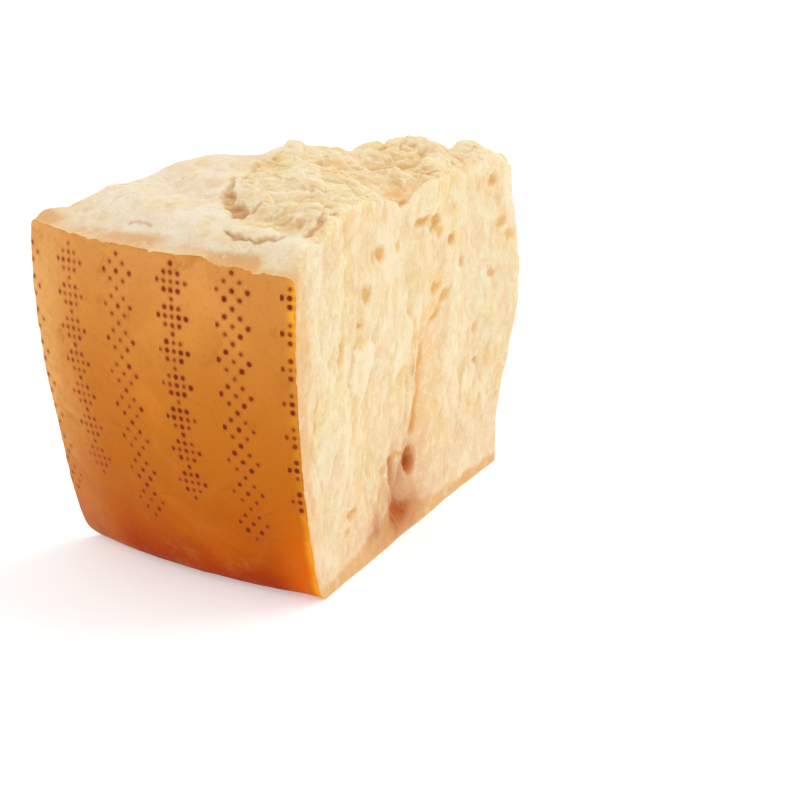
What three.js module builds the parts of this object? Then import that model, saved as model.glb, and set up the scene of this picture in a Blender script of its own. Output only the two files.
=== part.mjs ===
// A broken wedge of a hard, aged cheese wheel. It stands on the wheel's flat face, with the curved
// rind to the front (-Y) and its thin end, where the wheel's axis was, to the back (+Y). Both cuts
// were broken along the grain, and the top was cracked off about half way up the wheel.
import * as THREE from 'three';
import { ImprovedNoise } from 'three/addons/math/ImprovedNoise.js';

// Driving dimensions, in millimetres and degrees
const wheelRadius = 215; // the rind at its widest, from the wheel's axis
const widestHeight = 115; // height of the rind's widest place, the middle of the whole wheel
const barrelCurve = 0.00221; // how fast the rind curves in above and below that, per millimetre
const baseRounding = 5; // rounding of the rind's lower edge
const halfWedge = 14.5; // half the angle between the two cuts
const baseFlare = 2.6; // how far the left cut leans out at its foot
const flareHeight = 52; // height where that lean begins
const tipRadius = 3.2; // the blunt thin end
const tipDepth = 0.91; // how far the thin end is rounded outwards, as a share of half its width there
const rightSwell = 8.2; // how far the cuts bulge beside the thin end, most at this height
const leftSwell = 3;
const swellReach = 26;
const swellHeight = 74;
const plateauHeight = 124.2; // the smooth front part of the top
const leftRise = 2.4; // how much higher the top is at the left cut, and lower at the right one
const cragRise = 5.6; // how far the broken part of the top stands above the smooth part
const cragFront = 182; // radius where the broken part begins, in the middle of the wedge
const cragSlant = 16; // how much further forward it begins at the right cut
const softEdge = 2.2; // how far the top sinks at a cut, over a few millimetres

// How finely the surface is divided
const rindColumns = 24;
const cutColumns = 44;
const tipColumns = 4;
const levels = 26;
const topCell = 4.6;

// Height of the rind's broken upper edge across the front, as degrees from the middle and height
const rindTop = [[-14.5, 116], [-9, 114.5], [3, 114], [6.2, 115], [6.9, 113.6], [14.5, 111.4]];

// Hollows and bumps of the top: side, distance from the axis, reach along and across, and height
const topForms = [
  { side: -2, radius: 172, along: 4, across: 7, height: -4.5 },
  { side: 5.5, radius: 184, along: 4, across: 6, height: -4 },
  { side: -13, radius: 150, along: 13, across: 14, height: 1.4 },
  { side: -14, radius: 164, along: 9, across: 9, height: 3.2 },
  { side: -12, radius: 104, along: 14, across: 12, height: 3.8 },
  { side: -10, radius: 58, along: 8, across: 9, height: 3.8 },
  { side: -12, radius: 43, along: 5, across: 9, height: -1.5 },
  { side: -12, radius: 27, along: 7, across: 9, height: 0.6 },
  { side: 10, radius: 30, along: 9, across: 8, height: 2.2 },
  { side: 3, radius: 150, along: 16, across: 12, height: 2.2 },
  { side: 14.5, radius: 156, along: 10, across: 8, height: 3 },
  { side: 14.5, radius: 119, along: 15, across: 13, height: -6.4 },
  { side: 0, radius: 18, along: 24, across: 20, height: -2.7 },
  { side: 1, radius: 84, along: 20, across: 6, height: -2.8 },
  { side: -6, radius: 122, along: 6, across: 9, height: -2.4 },
];

// Hollows of the two cuts: distance from the axis, height, reach along and up, and depth
const rightHollows = [
  { along: 106.5, height: 25, reach: 4, rise: 7, depth: 5.5 },
  { along: 112, height: 13, reach: 10, rise: 6, depth: 3.6 },
  { along: 150, height: 108.5, reach: 3.4, rise: 4.5, depth: 2 },
  { along: 105, height: 110.5, reach: 6, rise: 3.6, depth: 2.6 },
  { along: 96, height: 105, reach: 3.6, rise: 3.6, depth: 2.4 },
  { along: 70, height: 101, reach: 3.6, rise: 3.4, depth: 1.8 },
  { along: 118, height: 88, reach: 9, rise: 12, depth: 1.8 },
];
const leftHollows = [
  { along: 150, height: 34, reach: 16, rise: 12, depth: 3.2 },
  { along: 96, height: 96, reach: 10, rise: 8, depth: 2.6 },
  { along: 62, height: 60, reach: 5, rise: 6, depth: 2.2 },
  { along: 182, height: 84, reach: 6, rise: 9, depth: 1.8 },
  { along: 128, height: 112, reach: 7, rise: 4, depth: 2.4 },
];

// The long smooth shell break in each cut: where its steep edge stands, and its width, depth and heights
const rightShell = { foot: 108, lean: 0.17, width: 31, step: 0.1, depth: 4.6, low: 8, high: 88 };
const leftShell = { foot: 74, lean: -0.12, width: 24, step: 0.14, depth: 3.4, low: 30, high: 108 };

const degree = Math.PI / 180;
const smooth = THREE.MathUtils.smoothstep;
const lerp = THREE.MathUtils.lerp;
const perlin = new ImprovedNoise();

function mound(offset, reach) {
  return Math.exp(-(offset * offset) / (reach * reach));
}

// A point beside the wheel's axis, at so many degrees to the right of straight ahead
function around(angle, radius) {
  return new THREE.Vector2(radius * Math.sin(angle * degree), -radius * Math.cos(angle * degree));
}

function rindRadius(height) {
  const fromWidest = height - widestHeight;
  const barrel = wheelRadius - barrelCurve * fromWidest * fromWidest;
  const intoEdge = Math.max(0, 1 - height / baseRounding);
  return barrel - baseRounding * 0.65 * (1 - Math.sqrt(1 - intoEdge * intoEdge));
}

function rindTopHeight(angle) {
  const last = rindTop.length - 1;
  if (angle <= rindTop[0][0]) {
    return rindTop[0][1];
  }
  for (let i = 0; i < last; i++) {
    const [from, low] = rindTop[i];
    const [to, high] = rindTop[i + 1];
    if (angle <= to) {
      return lerp(low, high, (angle - from) / (to - from));
    }
  }
  return rindTop[last][1];
}

// Height of the broken top at a place seen from above
function topHeight(x, y) {
  const radius = Math.hypot(x, y);
  const angle = Math.atan2(x, -y) / degree;
  const turn = THREE.MathUtils.clamp(angle / halfWedge, -1, 1);
  const slopeWidth = lerp(30, 6, (turn + 1) / 2);
  const fromRind = rindRadius(rindTopHeight(angle)) - radius;
  const wander = 5 * perlin.noise(x / 21, y / 21, 3.7);
  const front = cragFront + cragSlant * turn + wander;
  const crag = smooth(front - radius, 0, 9);
  let height = plateauHeight - leftRise * turn + 0.6 * perlin.noise(x / 30, y / 30, 8.1);
  height += crag * (cragRise + 3 * perlin.noise(x / 17, y / 17, 5.3) + 2.2 * perlin.noise(x / 8, y / 8, 2.9));
  for (const form of topForms) {
    const sideways = radius * Math.sin((angle - form.side) * degree);
    height += form.height * mound(radius - form.radius, form.along) * mound(sideways, form.across);
  }
  const toCut = radius * Math.sin((halfWedge - Math.abs(angle)) * degree);
  height -= softEdge * Math.exp(-Math.max(0, toCut) / 3.2) * smooth(fromRind, 2, 20);
  height -= 5.5 * (1 - smooth(radius, 0, 14));
  return lerp(rindTopHeight(angle), height, smooth(fromRind, 0, slopeWidth));
}

// The long shell break deepens slowly away from the thin end and ends in a steep edge
function shellDepth(along, height, shell) {
  const edge = shell.foot - shell.lean * height;
  const across = (along - (edge - shell.width)) / shell.width;
  const foot = smooth(height, shell.low - 6, shell.low + 6);
  const head = 1 - smooth(height, shell.high - 22, shell.high);
  if (across <= 0) {
    return 0;
  }
  const profile = across < 1 ? Math.pow(across, 1.6) : 1 - smooth(across - 1, 0, shell.step);
  return shell.depth * profile * foot * head;
}

// How far a cut stands out from its flat plane: upright streaks, hollows and one long shell break
function cutRelief(along, height, hollows, shell, swell, seed) {
  const fromRind = rindRadius(height) - along;
  const calm = smooth(fromRind, 1, 14) * lerp(0.3, 1, smooth(height, 4, 16));
  let relief = 1.5 * perlin.noise(along / 24, height / 62, seed);
  relief += 1.1 * perlin.noise(along / 9, height / 34, seed + 4.6);
  relief += 0.7 * perlin.noise(along / 7, height / 8, seed + 9.2);
  for (const hollow of hollows) {
    const upright = mound(height - hollow.height, hollow.rise);
    relief -= hollow.depth * mound(along - hollow.along, hollow.reach) * upright;
  }
  relief -= shellDepth(along, height, shell);
  const bulge = swell * mound(along, swellReach) * lerp(0.15, 1, mound(height - swellHeight, 32));
  return relief * calm * smooth(along, 2, 40) + bulge;
}

function cutAngle(side, height) {
  const lean = side < 0 ? baseFlare * (1 - smooth(height, 0, flareHeight)) : 0;
  return side * (halfWedge + lean);
}

// A point on a cut, from 0 at the rind to 1 at the thin end
function cutPoint(side, share, height) {
  const along = lerp(rindRadius(height), tipRadius, Math.pow(share, 1.22));
  const angle = cutAngle(side, height);
  const hollows = side > 0 ? rightHollows : leftHollows;
  const shell = side > 0 ? rightShell : leftShell;
  const swell = side > 0 ? rightSwell : leftSwell;
  const relief = cutRelief(along, height, hollows, shell, swell, side > 0 ? 1.3 : 6.8);
  const outwards = side * relief;
  const place = around(angle, along);
  place.x += outwards * Math.cos(angle * degree);
  place.y += outwards * Math.sin(angle * degree);
  return place;
}

function rindPoint(share, height) {
  const angle = lerp(cutAngle(-1, height), cutAngle(1, height), share);
  const wave = 0.5 * perlin.noise(angle / 7, height / 30, 4.4) * Math.sin(share * Math.PI);
  return around(angle, rindRadius(height) + wave);
}

function tipPoint(share, height) {
  const right = cutPoint(1, 1, height);
  const left = cutPoint(-1, 1, height);
  const place = right.clone().lerp(left, share);
  place.y += tipDepth * 0.5 * right.distanceTo(left) * Math.sin(share * Math.PI);
  return place;
}

// The stations of one trip round the wedge, each a function from a height to a place
const stations = [];
for (let i = 0; i < rindColumns; i++) {
  stations.push((height) => rindPoint(i / rindColumns, height));
}
for (let i = 0; i <= cutColumns; i++) {
  stations.push((height) => cutPoint(1, i / cutColumns, height));
}
for (let i = 1; i < tipColumns; i++) {
  stations.push((height) => tipPoint(i / tipColumns, height));
}
for (let i = cutColumns; i > 0; i--) {
  stations.push((height) => cutPoint(-1, i / cutColumns, height));
}

const vertices = [];
const triangles = [];

function addVertex(x, y, z) {
  vertices.push(x, y, z);
  return vertices.length / 3 - 1;
}

function addTriangle(a, b, c, turnedOver = false) {
  triangles.push(a, turnedOver ? c : b, turnedOver ? b : c);
}

// Heights of the levels, as a share of the full height: closer together at the rounded foot
function levelShare(level) {
  const even = level / levels;
  return even - 0.32 * even * Math.pow(1 - even, 6);
}

// The upright walls, level by level
function buildWalls() {
  const rings = [];
  const summits = stations.map((station) => {
    const place = station(plateauHeight - 4);
    return topHeight(place.x, place.y);
  });
  for (let level = 0; level <= levels; level++) {
    const ring = stations.map((station, i) => {
      const height = summits[i] * levelShare(level);
      const place = station(height);
      return addVertex(place.x, place.y, height);
    });
    rings.push(ring);
  }
  for (let level = 0; level < levels; level++) {
    for (let i = 0; i < stations.length; i++) {
      const next = (i + 1) % stations.length;
      addTriangle(rings[level][i], rings[level][next], rings[level + 1][next]);
      addTriangle(rings[level][i], rings[level + 1][next], rings[level + 1][i]);
    }
  }
  return rings;
}

// Fills the strip between two rows of vertices that run the same way, whatever their counts
function zip(front, back, facesDown) {
  let i = 0;
  let j = 0;
  while (i < front.length - 1 || j < back.length - 1) {
    const nextFront = (i + 1) / (front.length - 1);
    const nextBack = (j + 1) / (back.length - 1);
    if (j === back.length - 1 || (i < front.length - 1 && nextFront <= nextBack)) {
      addTriangle(front[i], front[i + 1], back[j], facesDown);
      i++;
    } else {
      addTriangle(front[i], back[j + 1], back[j], facesDown);
      j++;
    }
  }
}

// New vertices of the top between two of its edge vertices, along an arc about the axis
function topRow(left, right) {
  const from = new THREE.Vector2(vertices[3 * left], vertices[3 * left + 1]);
  const to = new THREE.Vector2(vertices[3 * right], vertices[3 * right + 1]);
  const count = Math.max(1, Math.round(from.distanceTo(to) / topCell));
  const row = [];
  for (let i = 1; i < count; i++) {
    const angle = lerp(Math.atan2(from.x, -from.y), Math.atan2(to.x, -to.y), i / count) / degree;
    const place = around(angle, lerp(from.length(), to.length(), i / count));
    row.push(addVertex(place.x, place.y, topHeight(place.x, place.y)));
  }
  return row;
}

// Rows across a ring, from the rind to the thin end, each from the left cut to the right one
function capRows(ring, fill) {
  const rows = [ring.slice(0, rindColumns + 1)];
  for (let i = 1; i < cutColumns; i++) {
    const left = ring[stations.length - i];
    const right = ring[rindColumns + i];
    rows.push([left, ...fill(left, right), right]);
  }
  const tipStart = rindColumns + cutColumns;
  rows.push(ring.slice(tipStart, tipStart + tipColumns + 1).reverse());
  return rows;
}

function buildSolid() {
  const rings = buildWalls();
  const topRows = capRows(rings[levels], topRow);
  const baseRows = capRows(rings[0], () => []);
  for (let i = 0; i < cutColumns; i++) {
    zip(topRows[i], topRows[i + 1], false);
    zip(baseRows[i], baseRows[i + 1], true);
  }
  const geometry = new THREE.BufferGeometry();
  geometry.setAttribute('position', new THREE.Float32BufferAttribute(vertices, 3));
  geometry.setIndex(triangles);
  geometry.computeBoundingBox();
  const middle = geometry.boundingBox.getCenter(new THREE.Vector3());
  geometry.translate(-middle.x, -middle.y, 0);
  geometry.computeVertexNormals();
  return geometry;
}

function pasteMaterial() {
  return new THREE.MeshStandardMaterial({ color: '#f0dcb4', roughness: 0.72, metalness: 0 });
}

const model = new THREE.Group();
const cheese = new THREE.Mesh(buildSolid(), pasteMaterial());
cheese.name = 'cheese';
model.add(cheese);

export default model;
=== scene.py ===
import math
import random

import bmesh
import bpy
from mathutils import Euler, Matrix, Vector, noise


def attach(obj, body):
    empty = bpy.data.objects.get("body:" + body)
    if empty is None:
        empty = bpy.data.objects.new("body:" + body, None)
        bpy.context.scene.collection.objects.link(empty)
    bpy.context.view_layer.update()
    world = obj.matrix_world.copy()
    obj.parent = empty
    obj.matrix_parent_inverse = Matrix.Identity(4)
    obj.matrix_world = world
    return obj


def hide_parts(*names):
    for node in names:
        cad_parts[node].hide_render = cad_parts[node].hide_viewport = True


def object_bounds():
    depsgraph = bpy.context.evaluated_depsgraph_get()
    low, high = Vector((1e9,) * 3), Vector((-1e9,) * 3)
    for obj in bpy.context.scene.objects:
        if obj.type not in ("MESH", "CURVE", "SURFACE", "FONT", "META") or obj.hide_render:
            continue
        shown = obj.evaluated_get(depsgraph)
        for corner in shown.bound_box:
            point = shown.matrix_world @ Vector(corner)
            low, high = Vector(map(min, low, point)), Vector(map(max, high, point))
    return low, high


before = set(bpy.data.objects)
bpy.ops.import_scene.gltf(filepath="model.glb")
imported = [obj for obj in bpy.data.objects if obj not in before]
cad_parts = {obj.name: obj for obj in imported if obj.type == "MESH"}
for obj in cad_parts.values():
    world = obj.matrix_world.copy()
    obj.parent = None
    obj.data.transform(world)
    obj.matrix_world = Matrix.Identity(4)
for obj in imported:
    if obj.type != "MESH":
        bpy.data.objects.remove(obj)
cadLow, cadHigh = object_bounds()
mm = 0.001
print("frame loaded, box in mm", [round(value / mm, 1) for value in (*cadLow, *cadHigh)])
noise.seed_set(4)  # the same noise vectors in each run

# The cheese wheel that the wedge was cut from, in the CAD frame
wheel = {
    "axisX": 0.59 * mm,
    "axisY": cadHigh.y - 3.83 * mm,  # the thin end reaches a little past the wheel's axis
    "radius": 215 * mm,
    "widest": 115 * mm,  # height of the rind's widest place
    "barrel": 0.00221 / mm,  # how fast the rind curves in above and below
}


def clamp(value, low=0.0, high=1.0):
    return max(low, min(high, value))


def smooth(value, low, high):
    share = clamp((value - low) / (high - low))
    return share * share * (3 - 2 * share)


def mix(low, high, share):
    return low + (high - low) * share


def mound(offset, reach):
    return math.exp(-(offset * offset) / (reach * reach))


def rindRadius(height):
    return wheel["radius"] - wheel["barrel"] * (height - wheel["widest"]) ** 2


def wheelPlace(co):
    # degrees to the right of straight ahead, distance from the axis, height
    x, y = co.x - wheel["axisX"], co.y - wheel["axisY"]
    return math.degrees(math.atan2(x, -y)), math.hypot(x, y), co.z


def paint(red, green, blue):
    # a screen colour of 0 to 255 as the linear colour that a shader takes
    def linear(value):
        value /= 255
        return value / 12.92 if value <= 0.04045 else ((value + 0.055) / 1.055) ** 2.4
    return linear(red), linear(green), linear(blue), 1.0


def addObject(name, data):
    made = bpy.data.objects.new(name, data)
    bpy.context.scene.collection.objects.link(made)
    return made


# Camera at the photograph's viewing angle
cameraSet = {
    "place": (420.6 * mm, -591.6 * mm, 235.9 * mm),
    "turn": 33.8,  # degrees to the left of straight along +Y
    "down": 14.7,
    "roll": 2.34,
    "lens": 94.5,
    "sensor": 36,
    "near": 10 * mm,
}


def makeCamera():
    data = bpy.data.cameras.new("camera")
    data.lens = cameraSet["lens"]
    data.sensor_width = cameraSet["sensor"]
    data.clip_start = cameraSet["near"]
    eye = addObject("camera", data)
    look = Euler((math.radians(90 - cameraSet["down"]), 0, math.radians(cameraSet["turn"]))).to_matrix()
    look = look @ Matrix.Rotation(math.radians(cameraSet["roll"]), 3, "Z")
    eye.matrix_world = Matrix.Translation(cameraSet["place"]) @ look.to_4x4()
    bpy.context.scene.camera = eye


makeCamera()
print("camera ready")


# Shader helpers
def newMaterial(name):
    material = bpy.data.materials.new(name)
    material.use_nodes = True
    tree = material.node_tree
    return material, tree, tree.nodes["Principled BSDF"]


def wire(tree, socket, value):
    if isinstance(value, bpy.types.NodeSocket):
        tree.links.new(value, socket)
    else:
        socket.default_value = value


def calc(tree, operation, *values):
    node = tree.nodes.new("ShaderNodeMath")
    node.operation = operation
    for socket, value in zip(node.inputs, values):
        wire(tree, socket, value)
    return node.outputs[0]


def times(tree, value, factor):
    return calc(tree, "MULTIPLY", value, factor)


def minus(tree, value, less):
    return calc(tree, "SUBTRACT", value, less)


def ranged(tree, value, fromLow, fromHigh, toLow=0.0, toHigh=1.0):
    node = tree.nodes.new("ShaderNodeMapRange")
    node.interpolation_type = "SMOOTHSTEP"
    for name, limit in (("From Min", fromLow), ("From Max", fromHigh), ("To Min", toLow), ("To Max", toHigh)):
        node.inputs[name].default_value = limit
    wire(tree, node.inputs["Value"], value)
    return node.outputs["Result"]


def swayed(tree, value, field, reach):
    # pushes a value up or down by half of reach at most
    return calc(tree, "MULTIPLY_ADD", minus(tree, field, 0.5), reach, value)


def blendColour(tree, share, under, over, mode="MIX"):
    node = tree.nodes.new("ShaderNodeMix")
    node.data_type = "RGBA"
    node.blend_type = mode
    # its sockets 6 and 7 and its output 2 are the ones for colours
    wire(tree, node.inputs[0], share)
    wire(tree, node.inputs[6], under)
    wire(tree, node.inputs[7], over)
    return node.outputs[2]


def product(tree, fields, parts):
    # a part is a field, a field ranged from two values to two others, or a number
    share = 1.0
    for part in parts:
        if isinstance(part, tuple):
            value = ranged(tree, fields[part[0]], *part[1:])
        else:
            value = fields.get(part, part)
        share = times(tree, share, value)
    return share


def mostOf(tree, fields, options):
    # the greatest of some products
    most = product(tree, fields, options[0])
    for parts in options[1:]:
        most = calc(tree, "MAXIMUM", most, product(tree, fields, parts))
    return most


def layered(tree, colour, fields, colours, layers):
    # lays colours over one another: each layer has a colour's name and the parts of its share
    for name, *parts in layers:
        colour = blendColour(tree, product(tree, fields, parts), colour, colours[name])
    return colour


def colourRamp(tree, value, stops):
    # stops are heights in millimetres and colours
    low, high = stops[0][0], stops[-1][0]
    node = tree.nodes.new("ShaderNodeValToRGB")
    for index, (stop, colour) in enumerate(stops):
        share = (stop - low) / (high - low)
        element = node.color_ramp.elements[index] if index < 2 else node.color_ramp.elements.new(share)
        element.position = share
        element.color = colour
    wire(tree, node.inputs[0], calc(tree, "DIVIDE", value, (high - low) * mm))
    return node.outputs[0]


def texture(tree, kind, place, **settings):
    node = tree.nodes.new("ShaderNodeTex" + kind)
    for name, value in settings.items():
        node.inputs[name].default_value = value
    tree.links.new(place, node.inputs["Vector"])
    return node.outputs


def parted(tree, colour):
    node = tree.nodes.new("ShaderNodeSeparateColor")
    tree.links.new(colour, node.inputs[0])
    return node.outputs


def noiseField(tree, place, size, detail, roughness, warp, stretch=(1, 1, 1), offset=(0, 0, 0)):
    # size is the length of one lump in millimetres
    mapping = tree.nodes.new("ShaderNodeMapping")
    mapping.inputs["Scale"].default_value = [1 / (size * mm * s) for s in stretch]
    mapping.inputs["Location"].default_value = offset
    tree.links.new(place, mapping.inputs["Vector"])
    return texture(tree, "Noise", mapping.outputs[0], Scale=1, Detail=detail, Roughness=roughness,
                   Distortion=warp)[0]


def cellField(tree, place, size):
    # how far it is to the middle of the nearest cell
    return texture(tree, "Voronoi", place, Scale=1 / (size * mm))["Distance"]


def crumbField(tree, place, size, ragged):
    # one value for each crumb, with an outline that noise makes ragged
    push = texture(tree, "Noise", place, Scale=ragged / (size * mm), Detail=4)["Color"]
    shift = tree.nodes.new("ShaderNodeVectorMath")
    shift.operation = "MULTIPLY_ADD"
    shift.inputs[1].default_value = [ragged * size * mm] * 3
    tree.links.new(push, shift.inputs[0])
    tree.links.new(place, shift.inputs[2])
    crumbs = texture(tree, "Voronoi", shift.outputs[0], Scale=1 / (size * mm))["Color"]
    return parted(tree, crumbs)[0]


def attribute(tree, name):
    node = tree.nodes.new("ShaderNodeAttribute")
    node.attribute_name = name
    return node.outputs["Fac"]


def bump(tree, height, distance, strength, under=None):
    node = tree.nodes.new("ShaderNodeBump")
    node.inputs["Distance"].default_value = distance
    node.inputs["Strength"].default_value = strength
    wire(tree, node.inputs["Height"], height)
    if under is not None:
        tree.links.new(under, node.inputs["Normal"])
    return node.outputs[0]


def objectPlace(tree):
    # the place on the piece, and its three axes
    place = tree.nodes.new("ShaderNodeTexCoord").outputs["Object"]
    axes = tree.nodes.new("ShaderNodeSeparateXYZ")
    tree.links.new(place, axes.inputs[0])
    return place, axes.outputs


def finishShader(tree, shader, fields, colour, skin, settings):
    tree.links.new(colour, shader.inputs["Base Color"])
    tree.links.new(product(tree, fields, [settings["roughness"]]), shader.inputs["Roughness"])
    tree.links.new(skin, shader.inputs["Normal"])
    shader.inputs["Specular IOR Level"].default_value = settings["specular"]
    shader.inputs["Subsurface Weight"].default_value = settings["subsurface"]
    shader.inputs["Subsurface Radius"].default_value = settings["reach"]
    shader.inputs["Subsurface Scale"].default_value = settings["scale"]


# What each vertex tells the paste's shader
vertexMarks = ("blush", "chalk", "rindSide", "shade", "pit", "gap", "peach", "warmShade", "pale", "shadowAndGlow",
               "hollow", "peak")
# The broken paste: top and both cuts
pasteLook = {
    "cream": paint(242, 216, 168),
    "pale": paint(248, 233, 199),
    "butter": paint(241, 209, 142),
    "peach": paint(237, 199, 150),
    # painted shade, warm as the paste's shade is
    "warmShade": paint(231, 180, 108),
    # painted shade: the colours of pits, cracks, hollows and crevices
    "pit": paint(238, 178, 80),
    "crevice": paint(222, 168, 108),
    "rose": paint(236, 201, 164),
    # painted shadow and painted glow beside the hole in the right cut
    "shadowAndGlow": paint(178, 80, 12),
    "chalk": paint(246, 231, 207),
    "rindSide": paint(229, 176, 115),  # the tan edge of the rind where it is broken or cut
    "crystal": paint(255, 250, 236),
}
# Its noises: length of a lump in millimetres, detail, roughness and warp, then any stretch and offset
pasteNoise = {
    "patches": (26, 5, 0.6, 0.4),
    "mottle": (7, 6, 0.68, 0.9, (1, 1, 1.2)),
    "flecks": (2.6, 6, 0.7, 0.6),
    "grain": (1.1, 5, 0.7, 0.3),
    "blotches": (11, 8, 0.72, 0.5),
    "edges": (6, 4, 0.6, 0.5, (1, 1, 1), (5, 9, 1)),
    "spread": (9, 2, 0.5, 0, (1, 1, 1), (3, 1, 2)),
}
pasteSet = {
    "crumb": 3.2,  # sizes in millimetres
    "lump": 1.9,
    "crystal": 2.6,
    "ragged": 1.6,  # how ragged the crumbs are
    "relief": [("flecks", 1), ("lumps", -0.4), ("crumbs", 0.3), ("chalk", 0.35)],
    "shellCalm": 0.7,  # how much of that relief the smooth shell breaks lose
    "reliefBump": (1.1 * mm, 0.75),  # distance and strength
    "grainBump": (0.45 * mm, 0.7),
    "roughness": ("mottle", 0.3, 0.7, 0.55, 0.75),
    "specular": 0.25,
    "subsurface": 0.6,
    "reach": (1.0, 0.6, 0.3),
    "scale": 4 * mm,
}
# Fields made from others: the greatest of one or more products
pasteFields = {
    "calmPaste": [["blush", 0.5], ["peach"]],
    "chalk": [["chalk", ("blotches", 0.43, 0.54, 0.5, 1)]],
    "deep": [["hollow", ("patches", 0.35, 0.65, 0.2, 0.75)], ["gap", 0.85]],
    # the tan rind edges together with the painted shadow and glow; whiter tips and crystals fade out over
    # both
    "tanAndShadow": [["rindSide"], ["shadowAndGlow"]],
}
# Its colours from the ground up, over cream
pasteLayers = [
    ("butter", ("patches", 0.42, 0.6)),
    ("pale", ("mottle", 0.5, 0.6, 0, 0.75)),
    ("peach", ("flecks", 0.56, 0.68, 0, 0.6)),
    ("rose", ("height", 70 * mm, 5 * mm), ("mottle", 0.35, 0.55, 0.2, 0.75)),
    # every broken flake is a little lighter or darker than the next
    ("pale", ("shade", 0.05, 0.4, 0, 0.6)),
    ("peach", ("shade", -0.05, -0.4, 0, 0.6)),
    # smoother, pinker paste under the rind and in the shell breaks, painted shade on the top's slanting
    # faces, chalk on the flat front of the top
    ("peach", "calmPaste", 0.88),
    ("chalk", "chalk", 0.85),
    # small crisp crumbs, some whiter and some pinker than the rest
    ("pale", ("crumbs", 0.68, 0.72), ("flecks", 0.4, 0.55, 0.1, 0.45)),
    ("peach", ("crumbs", 0.16, 0.13, 0, 0.35)),
    # painted shade in the listed warm places, and over the cuts
    ("warmShade", "warmShade", ("flecks", 0.3, 0.6, 1, 0.75)),
    # painted highlights and painted light, with whiter crumbly paste, in the listed pale places
    ("pale", "pale", ("mottle", 0.4, 0.55, 0.45, 1)),
    ("rindSide", "rindSide", ("edges", 0.3, 0.5, 0.35, 1)),
    # painted shade: hollows go darker and browner, as light is lost in them; painted shadow and glow beside
    # the hole in the right cut; crumbled tips go whiter
    ("pit", "pit"),
    ("crevice", "deep"),
    ("shadowAndGlow", "shadowAndGlow"),
    ("pale", "peak", ("tanAndShadow", 0.05, 0.5, 1, 0), ("grain", 0.4, 0.6), 0.8),
    ("crystal", ("crystals", 0.08, 0.2, 0.4, 0), ("spread", 0.5, 0.58), ("tanAndShadow", 0.05, 0.5, 1, 0)),
]


def pasteMaterial():
    material, tree, shader = newMaterial("paste")
    place, axes = objectPlace(tree)
    fields = {name: noiseField(tree, place, *values) for name, values in pasteNoise.items()}
    fields.update({name: attribute(tree, name) for name in vertexMarks})
    fields["height"] = axes[2]
    fields["crumbs"] = crumbField(tree, place, pasteSet["crumb"], pasteSet["ragged"])
    fields["lumps"] = cellField(tree, place, pasteSet["lump"])
    fields["crystals"] = cellField(tree, place, pasteSet["crystal"])
    for name, options in pasteFields.items():
        fields[name] = mostOf(tree, fields, options)
    colour = layered(tree, pasteLook["cream"], fields, pasteLook, pasteLayers)
    relief = 0.0
    for name, weight in pasteSet["relief"]:
        relief = calc(tree, "MULTIPLY_ADD", fields[name], weight, relief)
    left = minus(tree, 1.0, times(tree, fields["peach"], pasteSet["shellCalm"]))
    skin = bump(tree, times(tree, relief, left), *pasteSet["reliefBump"])
    skin = bump(tree, fields["grain"], *pasteSet["grainBump"], skin)
    finishShader(tree, shader, fields, colour, skin, pasteSet)
    return material


# The rind: amber, darker and redder towards its foot, with rows of pin-pricked lozenges
rindLook = {
    # colour up the rind: height in millimetres and colour
    "heights": [
        (0, paint(156, 48, 3)),
        (7, paint(174, 64, 4)),
        (18, paint(182, 87, 8)),
        (38, paint(187, 103, 18)),
        (64, paint(195, 115, 33)),
        (90, paint(203, 130, 53)),
        (114, paint(210, 142, 71)),
    ],
    "dull": paint(182, 104, 38),
    "bright": (1.1, 1.12, 1.15, 1),  # times the colour
    "tan": paint(226, 168, 98),
    "scar": paint(150, 72, 26),
    # painted glow and painted highlight along the thin edge by the right cut
    "glow": paint(226, 108, 8),
    "rimHighlight": paint(243, 168, 40),
    "dot": paint(112, 36, 12),
    "halo": paint(180, 86, 38),
}
rindNoise = {
    "clouds": (30, 5, 0.6, 0.5),
    "stainAndShade": (11, 6, 0.65, 0.6, (1, 1, 1), (2, 4, 7)),
    "fine": (1.6, 4, 0.65, 0.2),
    "scratches": (1.1, 3, 0.6, 0.2, (26, 1, 9)),
}
rindSet = {
    "cloudReach": 26 * mm,  # how far the clouds push the colours up and down
    "rimReach": 1.4,  # and the stain noise the edge of the painted glow and highlight by the right cut, in degrees
    "dull": [("stainAndShade", 0.46, 0.32, 0, 0.5)],
    "bright": [("clouds", 0.5, 0.68)],
    "ends": [[("height", 78 * mm, 98 * mm, 0.3, 1)], [("height", 42 * mm, 20 * mm, 0.3, 0.8)]],
    "fineBump": (0.25 * mm, 0.5),  # distance and strength
    "stainBump": (0.8 * mm, 0.35),
    "dotBump": (0.35 * mm, 0.8),
    "roughness": ("stainAndShade", 0.3, 0.7, 0.42, 0.6),
    "specular": 0.04,
    "subsurface": 0.12,
    "reach": (1.0, 0.45, 0.15),
    "scale": 3 * mm,
}
rindLayers = [
    # paler and pinker to the far left and half way up, darker at the foot
    ("tan", ("angle", -7, -15), ("stainAndShade", 0.3, 0.6, 0.35, 0.9), ("height", 20 * mm, 60 * mm, 0.3, 1)),
    ("scar", ("fine", 0.55, 0.75, 0, 0.3)),
    ("scar", ("scratches", 0.62, 0.72, 0, 0.16)),
    # painted light: a glow where light shines through the thin edge by the right cut, and a painted highlight
    # along that edge
    ("glow", ("rimEdge", 9.5, 14.2, 0, 0.75), ("height", 50 * mm, 6 * mm)),
    ("rimHighlight", "ends", ("rimEdge", 13.5, 14.5, 0, 0.95)),
    ("halo", "halo", 0.42),
    ("dot", "dots", ("draw", 0, 1, 0.7, 1), ("angle", -16, 6, 0.68, 0.95)),
]
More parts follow.
